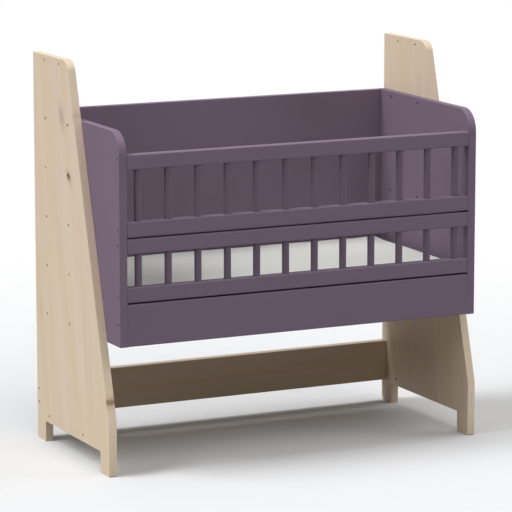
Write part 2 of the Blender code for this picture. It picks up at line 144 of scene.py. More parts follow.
class CribMattress(bpy.types.PropertyGroup):
    """Loose mattress with a woven cover."""

    cover: colour_field("Cover", "Colour of the cover", (0.66, 0.67, 0.63))
    thread: length_field("Thread", "Width of a thread of the cover", 0.0011, 0.0002)
    shrink: length_field(
        "Shrink", "How much smaller the shell starts before it is blown up", 0.003)
    rise: length_field("Rise", "How far a point of the shell may be blown out", 0.005)
    voxel: length_field("Voxel", "Grid of the shell before it is blown up", 0.006, 0.001)
    crown: length_field("Crown", "How much higher the middle stands than the edge", 0.005)
    slope: length_field("Slope", "How far in from the edge the crown is reached", 0.07)
    pull: length_field("Pull", "How far the seam draws the top edge up after that", 0.0035)
    ease: length_field("Ease", "Rounding of the long edges before the shell is blown up", 0.005)
    corner: length_field("Corner", "Radius of the upright corners", 0.014)
    piping: length_field("Piping", "Radius of the corded seam round both edges", 0.0019)
    stitch: length_field("Stitch", "Distance from one stitch to the next", 0.005, 0.001)


class CribStage(bpy.types.PropertyGroup):
    """Floor, light and camera."""

    camera: bpy.props.FloatVectorProperty(
        name="Camera", description="Place of the camera",
        subtype="TRANSLATION", unit="LENGTH", size=3, default=(-2.98524, -6.16854, 1.66240))
    pitch: angle_field("Pitch", "Tilt of the camera below level", 10.252)
    yaw: angle_field("Yaw", "Turn of the camera to the right of straight ahead", 25.775)
    lens: bpy.props.FloatProperty(
        name="Lens", description="Focal length on a 36 mm sensor, in millimetres",
        min=1, default=215.083)
    floor: colour_field("Floor", "Colour of the floor", (0.65, 0.657, 0.668))
    bounce: share_field(
        "Bounce", "Share of the light that the floor throws back on the crib", 0.35)
    ambient: level_field("Ambient", "Strength of the light from all round", 0.0)
    above: level_field("Above", "Strength of the lamps straight above", 1.0)
    left: level_field("Left", "Strength of the lamps on the left", 1.0)
    right: level_field("Right", "Strength of the lamps on the right", 1.0)
    front: level_field("Front", "Strength of the lamp in front", 1.0)


SETTINGS = {"crib_wood": CribWood, "crib_lacquer": CribLacquer, "crib_dowels": CribDowels,
            "crib_fasteners": CribFasteners, "crib_base": CribBase,
            "crib_mattress": CribMattress, "crib_stage": CribStage}


# Node trees

class Signal:
    """One output of a node. A sum on signals adds the Math nodes that work it out."""

    def __init__(self, bench, socket):
        self.bench = bench
        self.socket = socket

    def __add__(self, other):
        return self.bench.maths("ADD", self, other)

    def __radd__(self, other):
        return self.bench.maths("ADD", other, self)

    def __sub__(self, other):
        return self.bench.maths("SUBTRACT", self, other)

    def __rsub__(self, other):
        return self.bench.maths("SUBTRACT", other, self)

    def __mul__(self, other):
        return self.bench.maths("MULTIPLY", self, other)

    def __rmul__(self, other):
        return self.bench.maths("MULTIPLY", other, self)

    def __truediv__(self, other):
        return self.bench.maths("DIVIDE", self, other)

    def __rtruediv__(self, other):
        return self.bench.maths("DIVIDE", other, self)

    def __abs__(self):
        return self.bench.maths("ABSOLUTE", self)


class Bench:
    """Where the nodes of one material or one row of parts are put together."""

    def __init__(self, tree):
        self.tree = tree

    def node(self, kind, settings=None, inputs=None, output=0):
        """Add a node, set it up, then fill or link its sockets, and hand back one output."""
        node = self.tree.nodes.new(kind)
        for name, value in (settings or {}).items():
            setattr(node, name, value)
        for name, value in (inputs or {}).items():
            socket = node.inputs[name]
            if isinstance(value, Signal):
                self.tree.links.new(value.socket, socket)
            else:
                socket.default_value = value
        return Signal(self, node.outputs[output]) if node.outputs else node

    def maths(self, operation, *terms):
        """Work out one sum."""
        return self.node("ShaderNodeMath", {"operation": operation}, dict(enumerate(terms)))

    def step(self, value, low, high):
        """Smooth step from 0 at low to 1 at high."""
        return self.node("ShaderNodeMapRange", {"interpolation_type": "SMOOTHSTEP"},
                         {"Value": value, "From Min": low, "From Max": high})

    def mix(self, share, first, second):
        """Blend two colours."""
        return self.node("ShaderNodeMix", {"data_type": "RGBA"},
                         {0: share, 6: colour_of(first), 7: colour_of(second)}, 2)

    def pick(self, share, first, second):
        """Blend two numbers."""
        return self.node("ShaderNodeMix", {"data_type": "FLOAT"}, {0: share, 2: first, 3: second})

    def vector(self, x, y, z):
        """Put three numbers together as a vector."""
        return self.node("ShaderNodeCombineXYZ", None, {0: x, 1: y, 2: z})

    def split(self, vector):
        """Take a vector apart into three numbers."""
        first = self.node("ShaderNodeSeparateXYZ", None, {0: vector})
        return [Signal(self, socket) for socket in first.socket.node.outputs]

    def seen(self):
        """1 for rays from the camera and for mirrored or transmitted ones, otherwise 0."""
        path = self.tree.nodes.new("ShaderNodeLightPath")
        rays = [Signal(self, path.outputs[name])
                for name in ("Is Camera Ray", "Is Glossy Ray", "Is Transmission Ray")]
        return self.maths("MAXIMUM", self.maths("MAXIMUM", rays[0], rays[1]), rays[2])

    def noise(self, vector, scale=1.0, detail=2.0, roughness=0.5):
        """Soft noise round a half."""
        return self.node("ShaderNodeTexNoise", None,
                         {"Vector": vector, "Scale": scale, "Detail": detail,
                          "Roughness": roughness})


class Finish(Bench):
    """Material under construction, with its Principled shader."""

    def __init__(self, name):
        self.material = bpy.data.materials.new(name)
        self.material.use_nodes = True
        super().__init__(self.material.node_tree)
        self.shader = self.tree.nodes["Principled BSDF"]

    def place(self):
        """The three Object coordinates."""
        return self.split(self.node("ShaderNodeTexCoord", None, None, 3))

    def facing(self):
        """How much the surface faces along each axis of the object, from 0 to 1."""
        return [abs(part) for part in self.split(self.node("ShaderNodeTexCoord", None, None, 1))]

    def arris(self, low=0.04, high=0.25):
        """1 on rounded edges and 0 on faces that lie square to an axis."""
        x, y, z = self.facing()
        flattest = self.maths("MAXIMUM", self.maths("MAXIMUM", x, y), z)
        return self.step(1.0 - flattest, low, high)

    def bump(self, height, distance, strength=1.0):
        """Relief of the surface."""
        return self.node("ShaderNodeBump", None,
                         {"Height": height, "Distance": distance, "Strength": strength})

    def finish(self, **sockets):
        """Fill or link the shader's sockets and hand back the material."""
        for name, value in sockets.items():
            socket = self.shader.inputs[name.replace("_", " ").title().replace("Ior", "IOR")]
            if isinstance(value, Signal):
                self.tree.links.new(value.socket, socket)
            else:
                socket.default_value = value
        return self.material


def colour_of(value):
    """A colour with its alpha, or a signal as it is."""
    return value if isinstance(value, Signal) else (*value[:3], 1)


# Finishes

# Knots: place across and along the grain, half width, half length, slant, darkness.
STAND_KNOTS = {
    "left": ((0.0560, 0.7630, 0.0100, 0.021, 0.26, 0.52),
             (-0.0098, 0.7690, 0.0034, 0.010, 0.10, 0.42),
             (0.0183, 0.6340, 0.0092, 0.0088, 0.35, 1.00),
             (0.0070, 0.6190, 0.0026, 0.012, 0.80, 0.50),
             (-0.1915, 0.1670, 0.0075, 0.0095, 0.0, 1.00),
             (0.1900, 0.3000, 0.0060, 0.014, 0.0, 0.22)),
    "right": ((0.0500, 0.8060, 0.0060, 0.008, 0.35, 0.20),
              (0.0470, 0.7760, 0.0036, 0.022, 0.05, 0.24),
              (-0.0600, 0.4700, 0.0060, 0.010, 0.2, 0.85),
              (0.1500, 0.2200, 0.0070, 0.016, -0.1, 0.40)),
    "stretcher": (),
}

# Streaks: place across and along the grain at each end, width, warmth.
STAND_STREAKS = {
    "left": ((0.132, 0.65, -0.028, 0.10, 0.018, 0.42),
             (0.066, 0.68, -0.062, 0.12, 0.024, -0.46),
             (0.220, 0.40, 0.150, 0.06, 0.020, 0.34),
             (0.050, 0.92, 0.034, 0.70, 0.014, 0.40),
             (0.104, 0.16, 0.074, 0.02, 0.010, 0.50)),
    "right": ((0.090, 0.92, 0.060, 0.60, 0.018, -0.35),
              (0.010, 0.86, -0.110, 0.30, 0.020, 0.40),
              (0.150, 0.50, 0.080, 0.05, 0.022, 0.35)),
    "stretcher": ((0.080, -0.44, 0.112, 0.42, 0.010, 0.40),),
}


def streak_warmth(finish, side, run, streaks):
    """Listed soft bands along the grain, warm above zero and pale below it."""
    total = 0.0
    for side_a, run_a, side_b, run_b, width, warmth in streaks:
        slope = (side_b - side_a) / (run_b - run_a)
        off = (side - side_a - (run - run_a) * slope) / width
        low, high = min(run_a, run_b), max(run_a, run_b)
        ends = finish.step(run, low - 0.04, low + 0.06)
        ends = ends * finish.step(run, high + 0.04, high - 0.06)
        total = finish.maths("EXPONENT", off * off * -1.0) * ends * warmth + total
    return total


def knot_masks(finish, side, run, deep, knots):
    """Dark hearts and brown rings of the knots, and the grain's place once bent round them."""
    bent, heart, ring = side, 0.0, 0.0
    crumble = (finish.noise(finish.vector(side, run, deep), 300.0, 3.0) - 0.5) * 0.9
    for knot_side, knot_run, width, height, tilt, depth in knots:
        off = side - knot_side
        up = (run - knot_run) / height
        slant = (off - (run - knot_run) * tilt) / width
        far = finish.maths("SQRT", slant * slant + up * up)
        bent = bent - off * finish.maths("EXPONENT", far * far * -0.16) * 0.75
        heart = finish.maths("MAXIMUM", heart, finish.step(far + crumble, 1.25, 0.5) * depth ** 2)
        ring = finish.maths("MAXIMUM", ring, finish.step(far + crumble * 0.5, 2.6, 0.8) * depth)
    return bent, heart, ring


def wood_finish(name, across, along, through, lean, board, start):
    """Pale wood with drifting bands, fine fibres, and knots that the grain flows round."""
    wood = bpy.context.scene.crib_wood
    finish = Finish(name)
    place = finish.place()
    side, run, deep = place[across], place[along], place[through]
    bent, heart, ring = knot_masks(finish, side, run, deep, STAND_KNOTS[board])
    drift = finish.noise(finish.vector(side * 5.0, run * 2.2, start), 1.0, 2.0)
    bent = bent - run * lean + (drift - 0.5) * 0.045
    wide = finish.noise(finish.vector(bent * 17.0 + start, run * 0.9, deep * 9.0), 1.0, 2.0)
    bands = finish.noise(finish.vector(bent * 85.0, run * 1.8, deep * 45.0 + start), 1.0, 3.0, 0.5)
    lines = finish.noise(finish.vector(bent * 420.0, run * 6.0, deep * 210.0), 1.0, 3.0, 0.6)
    fibre = finish.noise(finish.vector(side * 1500.0, run * 34.0, deep * 1500.0), 1.0, 2.0, 0.6)
    warmth = finish.step(wide * 0.62 + bands * 0.28 + lines * 0.10, 0.30, 0.70)
    warmth = warmth * 0.8 + 0.1 + streak_warmth(finish, side, run, STAND_STREAKS[board])
    colour = finish.mix(warmth, wood.cream, wood.tan)
    blush = finish.noise(finish.vector(bent * 42.0, run * 1.1, start + deep * 20.0), 1.0, 1.0)
    hue = finish.mix(finish.step(blush, 0.38, 0.62), (0.678, 0.527, 0.438), (0.657, 0.542, 0.362))
    colour = finish.mix(drift * 0.5 + 0.1, colour, hue)
    dark = finish.step(bands, 0.54, 0.80) * 0.09 + finish.step(lines, 0.50, 0.80) * 0.09
    dark = dark + finish.step(fibre, 0.60, 0.80) * 0.07
    colour = finish.mix(dark, colour, (0.32, 0.21, 0.12))
    end = finish.step(finish.facing()[along], 0.80, 0.97)
    reach = finish.maths("SQRT", side * side + (deep + 0.07) * (deep + 0.07))
    years = finish.maths("SINE", reach * 1500.0 + drift * 14.0) * 0.5 + 0.5
    pores = finish.noise(finish.vector(side * 1300.0, run * 60.0, deep * 1300.0), 1.0, 1.0)
    cut = end * (years * 0.16 + finish.step(pores, 0.52, 0.75) * 0.22 + 0.02)
    colour = finish.mix(cut, colour, (0.35, 0.24, 0.14))
    colour = finish.mix(ring * 0.42, colour, (0.38, 0.25, 0.12))
    colour = finish.mix(heart * 0.90, colour, wood.knot)
    colour = finish.mix(finish.arris(0.10, 0.28) * 0.15, colour, (0.70, 0.61, 0.49))
    relief = lines * 0.6 + fibre * 0.4 + end * pores * 0.8 - heart * 1.5
    return finish.finish(
        base_color=colour,
        roughness=0.50 + bands * 0.10 + fibre * 0.10 - heart * 0.12,
        normal=finish.bump(relief, 0.00025, 0.5),
        specular_ior_level=0.32)


def lacquer_finish(name, tone):
    """Matt lacquer with a spray grain, a faint cloudiness and paler edges; its scale paints light
    above 1 and shade below 1 into the colour.
    """
    lacquer = bpy.context.scene.crib_lacquer
    finish = Finish(name)
    x, y, z = finish.place()
    cloud = finish.noise(finish.vector(x, y, z), 7.0, 3.0)
    grain = finish.noise(finish.vector(x, y, z), 1.0 / lacquer.stipple, 2.0, 0.6)
    swell = finish.noise(finish.vector(x, y, z), 120.0, 1.0)
    # The scale is painted light and shade: above 1 it paints light, below 1 it paints shade.
    base = Vector(lacquer.colour) * tone
    colour = finish.mix(cloud, tuple(base * 0.94), tuple(base * 1.06))
    colour = finish.mix((grain - 0.5) * 0.16 + 0.08, colour, tuple(base * 1.35))
    colour = finish.mix(finish.arris() * 0.06, colour, tuple(base * 2.0))
    return finish.finish(
        base_color=colour,
        roughness=lacquer.roughness - 0.05 + grain * 0.10,
        normal=finish.bump(grain * 0.35 + swell * 0.65, 0.00012, 0.35),
        specular_ior_level=0.04)


def steel_finish():
    """Dark plated steel, turned and a little uneven."""
    finish = Finish("dark_plated_steel")
    x, y, z = finish.place()
    turned = finish.noise(finish.vector(x * 4200.0, y * 500.0, z * 500.0), 1.0, 2.0)
    patches = finish.noise(finish.vector(x, y, z), 900.0, 2.0)
    base = Vector(bpy.context.scene.crib_fasteners.steel)
    return finish.finish(
        base_color=finish.mix(patches, tuple(base * 0.7), tuple(base * 1.4)),
        metallic=1.0,
        roughness=0.34 + patches * 0.22,
        normal=finish.bump(turned, 0.00006, 0.6))


def plywood_finish():
    """Plywood: a grained veneer on its faces and layers on its edges."""
    base = bpy.context.scene.crib_base
    finish = Finish("birch_plywood")
    x, y, z = finish.place()
    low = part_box("base_board")[0].z
    bent = y + (finish.noise(finish.vector(x * 2.2, y * 6.0, 3.0), 1.0, 1.0) - 0.5) * 0.05
    grain = finish.noise(finish.vector(x * 3.0, bent * 120.0, z * 40.0), 1.0, 3.0, 0.6)
    fibre = finish.noise(finish.vector(x * 30.0, y * 1300.0, z * 400.0), 1.0, 2.0)
    veneer = Vector(base.veneer)
    face = finish.mix(finish.step(grain, 0.35, 0.7), tuple(veneer * 1.12), tuple(veneer * 0.84))
    face = finish.mix(finish.step(fibre, 0.55, 0.8) * 0.35, face, tuple(veneer * 0.6))
    layer = finish.maths("PINGPONG", (z - low) / base.ply, 1.0)
    dark = finish.step(layer, 0.42, 0.58)
    edge = finish.mix(dark * 0.7, tuple(veneer * 1.02), tuple(veneer * 0.52))
    edge = finish.mix(fibre * 0.25, edge, tuple(veneer * 0.7))
    flat = finish.step(finish.facing()[2], 0.6, 0.9)
    return finish.finish(
        base_color=finish.mix(flat, edge, face),
        roughness=0.58 + fibre * 0.14,
        normal=finish.bump(grain * flat * 0.5 + fibre * 0.5 + dark * (1.0 - flat), 0.0002, 0.5))


def weave(finish, along, across, thread):
    """Plain weave of two sets of threads, as height from 0 to 1."""
    first = finish.maths("SINE", along * (math.tau / (2 * thread)))
    second = finish.maths("SINE", across * (math.tau / (2 * thread)))
    over = finish.maths("ABSOLUTE", finish.maths("SINE", along * (math.pi / (2 * thread))))
    under = finish.maths("ABSOLUTE", finish.maths("SINE", across * (math.pi / (2 * thread))))
    return (first * second * 0.5 + 0.5) * 0.55 + over * under * 0.45


def cover_finish():
    """Woven mattress cover: fine threads, slubs, a soft sheen and a little unevenness."""
    mattress = bpy.context.scene.crib_mattress
    finish = Finish("woven_cover")
    x, y, z = finish.place()
    _, face_y, face_z = finish.facing()
    top = finish.step(face_z, 0.45, 0.75)
    long_side = finish.step(face_y, 0.45, 0.75)
    run = finish.pick(top, finish.pick(long_side, y, x), x)
    rise = finish.pick(top, z, y)
    wander = (finish.noise(finish.vector(x, y, z), 30.0, 1.0) - 0.5) * 0.0012
    threads = weave(finish, run + wander, rise + wander, mattress.thread)
    slub = finish.noise(finish.vector(run * 900.0, rise * 70.0, z * 100.0), 1.0, 2.0)
    slub = slub * 0.5 + finish.noise(finish.vector(run * 70.0, rise * 900.0, 5.0), 1.0, 2.0) * 0.5
    cloud = finish.noise(finish.vector(x, y, z), 9.0, 2.0)
    base = Vector(mattress.cover)
    colour = finish.mix(threads, tuple(base * 0.86), tuple(base * 1.04))
    colour = finish.mix(finish.step(slub, 0.55, 0.75) * 0.35, colour, tuple(base * 0.84))
    colour = finish.mix(cloud * 0.12, colour, tuple(base * Vector((0.93, 0.92, 0.90))))
    finish.shader.inputs["Sheen Weight"].default_value = 0.25
    finish.shader.inputs["Sheen Roughness"].default_value = 0.5
    return finish.finish(
        base_color=colour,
        roughness=0.86 + threads * 0.08,
        normal=finish.bump(threads * 0.8 + slub * 0.2, 0.0003, 0.45),
        specular_ior_level=0.25)


def thread_finish():
    """Thread of the seams, twisted, a shade darker than the cover."""
    finish = Finish("seam_thread")
    x, y, z = finish.place()
    twist = finish.maths("SINE", (x + y) * 9000.0 + z * 5000.0) * 0.5 + 0.5
    base = Vector(bpy.context.scene.crib_mattress.cover) * 0.68
    return finish.finish(
        base_color=finish.mix(twist, tuple(base * 0.82), tuple(base * 1.05)),
        roughness=0.85,
        normal=finish.bump(twist, 0.0002, 0.4))


# Making pieces

WELD_GAP = 0.00001
FLAT_ANGLE = math.radians(0.5)
SHARP_ANGLE = math.radians(40)
ROW_SHARP_ANGLE = math.radians(35)


def link(name, mesh):
    """New object at the origin."""
    piece = bpy.data.objects.new(name, mesh)
    bpy.context.scene.collection.objects.link(piece)
    return piece


def put_on(piece, body, slot, *nodes):
    """Let a finished piece ride on its body and stand for its CAD nodes."""
    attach(piece, body)
    if nodes:
        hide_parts(*nodes)


def plain_mesh(piece, name):
    """Evaluated mesh of an object, with its modifiers worked in."""
    bpy.context.view_layer.update()
    result = piece.evaluated_get(bpy.context.evaluated_depsgraph_get())
    mesh = bpy.data.meshes.new_from_object(result)
    mesh.name = name
    return mesh


def rounded_board(node, name, material, body, slot, arris):
    """Rounded copy of a CAD board, with its loose triangles joined into clean faces."""
    bm = bmesh.new()
    bm.from_mesh(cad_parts[node].data)
    bmesh.ops.remove_doubles(bm, verts=bm.verts, dist=WELD_GAP)
    bmesh.ops.dissolve_limit(bm, angle_limit=FLAT_ANGLE, verts=bm.verts, edges=bm.edges)
    for face in bm.faces:
        face.smooth = True
    mesh = bpy.data.meshes.new(name)
    bm.to_mesh(mesh)
    bm.free()
    for attribute in [a for a in mesh.attributes if a.name in ("custom_normal", "sharp_edge")]:
        mesh.attributes.remove(attribute)
    mesh.materials.clear()
    mesh.materials.append(material)
    mesh.set_sharp_from_angle(angle=SHARP_ANGLE)
    board = link(name, mesh)
    bevel = board.modifiers.new("arris", "BEVEL")
    bevel.width = arris
    bevel.segments = 3
    bevel.limit_method = "ANGLE"
    bevel.angle_limit = SHARP_ANGLE
    bevel.miter_outer = "MITER_ARC"
    flats = board.modifiers.new("flats", "WEIGHTED_NORMAL")
    flats.keep_sharp = True
    flats.weight = 100
    put_on(board, body, slot, node)


def row_tree(name, sizes):
    """New Geometry Nodes tree with named inputs, as a bench and its inputs."""
    tree = bpy.data.node_groups.new(name, "GeometryNodeTree")
    tree.interface.new_socket("Geometry", in_out="OUTPUT", socket_type="NodeSocketGeometry")
    for label, kind in sizes.items():
        tree.interface.new_socket(label, in_out="INPUT", socket_type="NodeSocket" + kind)
    bench = Bench(tree)
    source = tree.nodes.new("NodeGroupInput")
    return bench, {socket.name: Signal(bench, socket) for socket in source.outputs if socket.name}


def close_tree(bench, geometry, material):
    """End a tree with real geometry, a smooth skin and its material."""
    real = bench.node("GeometryNodeRealizeInstances", None, {0: geometry})
    smooth = bench.node("GeometryNodeSetShadeSmooth", None, {"Geometry": real})
    painted = bench.node("GeometryNodeSetMaterial", None,
                         {"Geometry": smooth, "Material": material})
    bench.node("NodeGroupOutput", None, {"Geometry": painted})


def grow(name, tree, values, start_mesh=None):
    """Run a tree on an object and keep the result as one plain mesh piece."""
    source = link(name + "_source", start_mesh or bpy.data.meshes.new(name + "_source"))
    modifier = source.modifiers.new("row", "NODES")
    modifier.node_group = tree
    for item in tree.interface.items_tree:
        if item.in_out == "INPUT" and item.name in values:
            modifier[item.identifier] = values[item.name]
    mesh = plain_mesh(source, name)
    bpy.data.objects.remove(source)
    mesh.set_sharp_from_angle(angle=ROW_SHARP_ANGLE)
    return link(name, mesh)


def dowel_tree():
    """Row of round bars, evenly spaced along X."""
    bench, inputs = row_tree("dowel_row", {
        "Count": "Int", "First": "Vector", "Spacing": "Vector", "Radius": "Float",
        "Length": "Float", "Facets": "Int", "Material": "Material"})
    line = bench.node("GeometryNodeMeshLine", None,
                      {"Count": inputs["Count"], "Start Location": inputs["First"],
                       "Offset": inputs["Spacing"]})
    bar = bench.node("GeometryNodeMeshCylinder", None,
                     {"Vertices": inputs["Facets"], "Radius": inputs["Radius"],
                      "Depth": inputs["Length"]})
    row = bench.node("GeometryNodeInstanceOnPoints", None, {"Points": line, "Instance": bar})
    close_tree(bench, row, inputs["Material"])
    return bench.tree


def fastener_tree():
    """Headless fasteners at the points of a mesh, each socket facing away from the middle."""
    bench, inputs = row_tree("socket_fasteners", {
        "Geometry": "Geometry", "Radius": "Float", "Length": "Float", "Socket": "Float",
        "Socket Depth": "Float", "Facets": "Int", "Material": "Material"})
    body = bench.node("GeometryNodeMeshCylinder", None,
                      {"Vertices": inputs["Facets"], "Radius": inputs["Radius"],
                       "Depth": inputs["Length"]})
    corner = inputs["Socket"] / math.sqrt(3)
    hexagon = bench.node("GeometryNodeMeshCylinder", None,
                         {"Vertices": 6, "Radius": corner, "Depth": inputs["Socket Depth"] * 2.0})
    lift = bench.vector(0.0, 0.0, inputs["Length"] / 2.0)
    hexagon = bench.node("GeometryNodeTransform", None, {"Geometry": hexagon, "Translation": lift})
    cut = bench.node("GeometryNodeMeshBoolean", {"operation": "DIFFERENCE", "solver": "EXACT"},
                     {0: body, 1: hexagon})
    rim = bench.node("GeometryNodeCurvePrimitiveCircle", None,
                     {"Resolution": inputs["Facets"], "Radius": inputs["Radius"] * 0.93})
    wire = bench.node("GeometryNodeCurvePrimitiveCircle", None,
                      {"Resolution": 8, "Radius": inputs["Radius"] * 0.06})
    rim = bench.node("GeometryNodeCurveToMesh", None, {"Curve": rim, "Profile Curve": wire})
    rim = bench.node("GeometryNodeTransform", None, {"Geometry": rim, "Translation": lift})
    whole = bench.node("GeometryNodeJoinGeometry", None, {0: cut})
    bench.tree.links.new(rim.socket, whole.socket.node.inputs[0])
    where = bench.split(bench.node("GeometryNodeInputPosition"))
    side = bench.maths("SIGN", where[0])
    turn = bench.node("FunctionNodeEulerToRotation", None,
                      {0: bench.vector(0.0, side * (math.pi / 2), 0.0)})
    row = bench.node("GeometryNodeInstanceOnPoints", None,
                     {"Points": inputs["Geometry"], "Instance": whole, "Rotation": turn})
    close_tree(bench, row, inputs["Material"])
    return bench.tree


def stitch_tree():
    """Row of stitches along a closed loop of edges."""
    bench, inputs = row_tree("stitch_row", {
        "Geometry": "Geometry", "Spacing": "Float", "Length": "Float", "Thickness": "Float",
        "Material": "Material"})
    path = bench.node("GeometryNodeMeshToCurve", None, {"Mesh": inputs["Geometry"]})
    points = bench.node("GeometryNodeCurveToPoints", {"mode": "LENGTH"},
                        {"Curve": path, "Length": inputs["Spacing"]})
    turn = Signal(bench, points.socket.node.outputs["Rotation"])
    bead = bench.node("GeometryNodeMeshUVSphere", None,
                      {"Segments": 6, "Rings": 5, "Radius": 0.5})
    size = bench.vector(inputs["Thickness"], inputs["Thickness"], inputs["Length"])
    row = bench.node("GeometryNodeInstanceOnPoints", None,
                     {"Points": points, "Instance": bead, "Rotation": turn, "Scale": size})
    close_tree(bench, row, inputs["Material"])
    return bench.tree


def cord_tree():
    """Round cord along closed loops of edges."""
    bench, inputs = row_tree("seam_cord", {
        "Geometry": "Geometry", "Radius": "Float", "Material": "Material"})
    path = bench.node("GeometryNodeMeshToCurve", None, {"Mesh": inputs["Geometry"]})
    ring = bench.node("GeometryNodeCurvePrimitiveCircle", None,
                      {"Resolution": 10, "Radius": inputs["Radius"]})
    cord = bench.node("GeometryNodeCurveToMesh", None, {"Curve": path, "Profile Curve": ring})
    close_tree(bench, cord, inputs["Material"])
    return bench.tree


# Mattress: step along its loops, parts of a corner, where the seams' rays start inside the edge,
# place of the stitched panel, and shares of a stitch's spacing and of the cord's radius.
LOOP_STEP = 0.01
CORNER_PARTS = 7
SEAM_CORE = 0.014
PANEL_INSET = 0.012
PANEL_CORNER = 0.010
STITCH_SHARE = 0.62
STITCH_THICKNESS = 0.6
CORD_SINK = 0.5

# Dents of the cover: depth, and height over which they fade in from the underside.
DENT_DEPTH = 0.0008
DENT_FADE = 0.006

# Pulled top edge: reach of the lift, foot and height of the band that it fades over,
# depth of the bend, and what stays clear of the CAD mattress's side.
LIFT_REACH = 0.022
LIFT_FOOT = 0.028
LIFT_BAND = 0.016
BEND_DEPTH = 0.014
SIDE_SPARE = 0.0006

# Last frame of the cloth simulation.
LAST_FRAME = 20


def slab_outline(half_x, half_y, middle_y, radius, step=None):
    """Points round a rectangle with round corners, closer than a step if one is given."""
    corners = []
    for turn, (sx, sy) in enumerate(((1, 1), (-1, 1), (-1, -1), (1, -1))):
        for part in range(CORNER_PARTS + 1):
            angle = math.pi / 2 * (turn + part / CORNER_PARTS)
            corners.append(Vector((sx * (half_x - radius) + radius * math.cos(angle),
                                   middle_y + sy * (half_y - radius) + radius * math.sin(angle))))
    points = []
    for here, there in zip(corners, corners[1:] + corners[:1]):
        parts = max(1, round((there - here).length / step)) if step else 1
        points += [here.lerp(there, part / parts) for part in range(parts)]
    return points


def loop_mesh(name, loops):
    """Closed loops of edges as one mesh."""
    points, edges = [], []
    for loop in loops:
        first = len(points)
        points += loop
        edges += [(first + n, first + (n + 1) % len(loop)) for n in range(len(loop))]
    mesh = bpy.data.meshes.new(name)
    mesh.from_pydata(points, edges, [])
    return mesh


def edge_loop(skin, low, high, radius, rise, sink):
    """Where rays that leave the core of the pad on a slant come out, sunk a little."""
    middle = (low + high) / 2
    half_x, half_y = (high.x - low.x) / 2, (high.y - low.y) / 2
    loop = []
    for x, y in slab_outline(half_x, half_y, middle.y, radius, LOOP_STEP):
        core = Vector((max(radius - half_x, min(half_x - radius, x)),
                       middle.y + max(radius - half_y, min(half_y - radius, y - middle.y)),
                       (high.z - radius) if rise > 0 else (low.z + radius)))
        out = Vector((x, y, core.z)) - core
        out = (out.normalized() + Vector((0, 0, rise))).normalized()
        hit = skin.ray_cast(core, out)[0]
        if hit is None:
            raise RuntimeError("The mattress shell is open at its edge")
        loop.append(hit - out * sink)
    return loop


def panel_loop(skin, low, high, inset, radius):
    """Loop on the top of the pad, at an even distance from its edge."""
    middle = (low + high) / 2
    half_x, half_y = (high.x - low.x) / 2 - inset, (high.y - low.y) / 2 - inset
    loop = []
    for x, y in slab_outline(half_x, half_y, middle.y, radius, LOOP_STEP):
        hit = skin.ray_cast(Vector((x, y, high.z + 0.05)), Vector((0, 0, -1)))[0]
        if hit is None:
            raise RuntimeError("The mattress shell has no top")
        loop.append(hit)
    return loop


def slab_mesh(name, rings):
    """Closed skin over rings of (outline, height), flat at both ends."""
    bm = bmesh.new()
    loops = [[bm.verts.new((x, y, z)) for x, y in outline] for outline, z in rings]
    bm.faces.new(loops[0])
    bm.faces.new(loops[-1])
    for low, high in zip(loops, loops[1:]):
        for index in range(len(low)):
            bm.faces.new((low[index - 1], low[index], high[index], high[index - 1]))
    bmesh.ops.recalc_face_normals(bm, faces=bm.faces)
    mesh = bpy.data.meshes.new(name)
    bm.to_mesh(mesh)
    bm.free()
    return mesh


def points_of(mesh):
    """Places of a mesh's points, as rows."""
    flat = np.empty(len(mesh.vertices) * 3, np.float32)
    mesh.vertices.foreach_get("co", flat)
    return flat.reshape(-1, 3).astype(float)


def set_points(mesh, places):
    """Write the places of a mesh's points."""
    mesh.vertices.foreach_set("co", places.astype(np.float32).ravel())
    mesh.update()


def blow_up(piece, floor_z, rise):
    """Press the shell out from inside with cloth, its underside held, and cap its travel."""
    scene = bpy.context.scene
    rest = points_of(piece.data)
    held = piece.vertex_groups.new(name="underside")
    held.add([int(i) for i in np.nonzero(rest[:, 2] < floor_z)[0]], 1.0, "REPLACE")
    cloth = piece.modifiers.new("stuffing", "CLOTH")
    settings = cloth.settings
    settings.quality = 5
    settings.mass = 0.2
    settings.tension_stiffness = 12
    settings.compression_stiffness = 12
    settings.shear_stiffness = 6
    settings.bending_stiffness = 0.6
    settings.use_pressure = True
    settings.uniform_pressure_force = 4
    settings.effector_weights.gravity = 0
    settings.vertex_group_mass = held.name
    cloth.collision_settings.use_collision = False
    cloth.point_cache.frame_start = 1
    cloth.point_cache.frame_end = LAST_FRAME
    for number in range(1, LAST_FRAME + 1):
        scene.frame_set(number)
    pressed = plain_mesh(piece, piece.name + "_pressed")
    moved = points_of(pressed) - rest
    travel = np.linalg.norm(moved, axis=1, keepdims=True)
    moved *= rise * np.tanh(travel / rise) / np.maximum(travel, 1e-9)
    piece.modifiers.remove(cloth)
    scene.frame_set(1)
    set_points(piece.data, rest + moved)


# Operators

class CRIB_OT_stands(bpy.types.Operator):
    """Round and finish the two stands and the rear stretcher."""

    bl_idname = "crib.stands"
    bl_label = "Stands and stretcher"

    def execute(self, context):
        wood = context.scene.crib_wood
        for number, side in enumerate(SIDES):
            finish = wood_finish("stand_wood_" + side, 1, 2, 0, wood.lean,
                                 side, 3.7 + 5.1 * number)
            rounded_board("stand_" + side, side + "_stand", finish, FRAME_BODY,
                          "pale_wood", wood.arris)
        finish = wood_finish("stretcher_wood", 2, 0, 1, 0.02, "stretcher", 17.3)
        rounded_board("rear_stretcher", "low_stretcher", finish, FRAME_BODY,
                      "pale_wood", wood.arris)
        return {"FINISHED"}


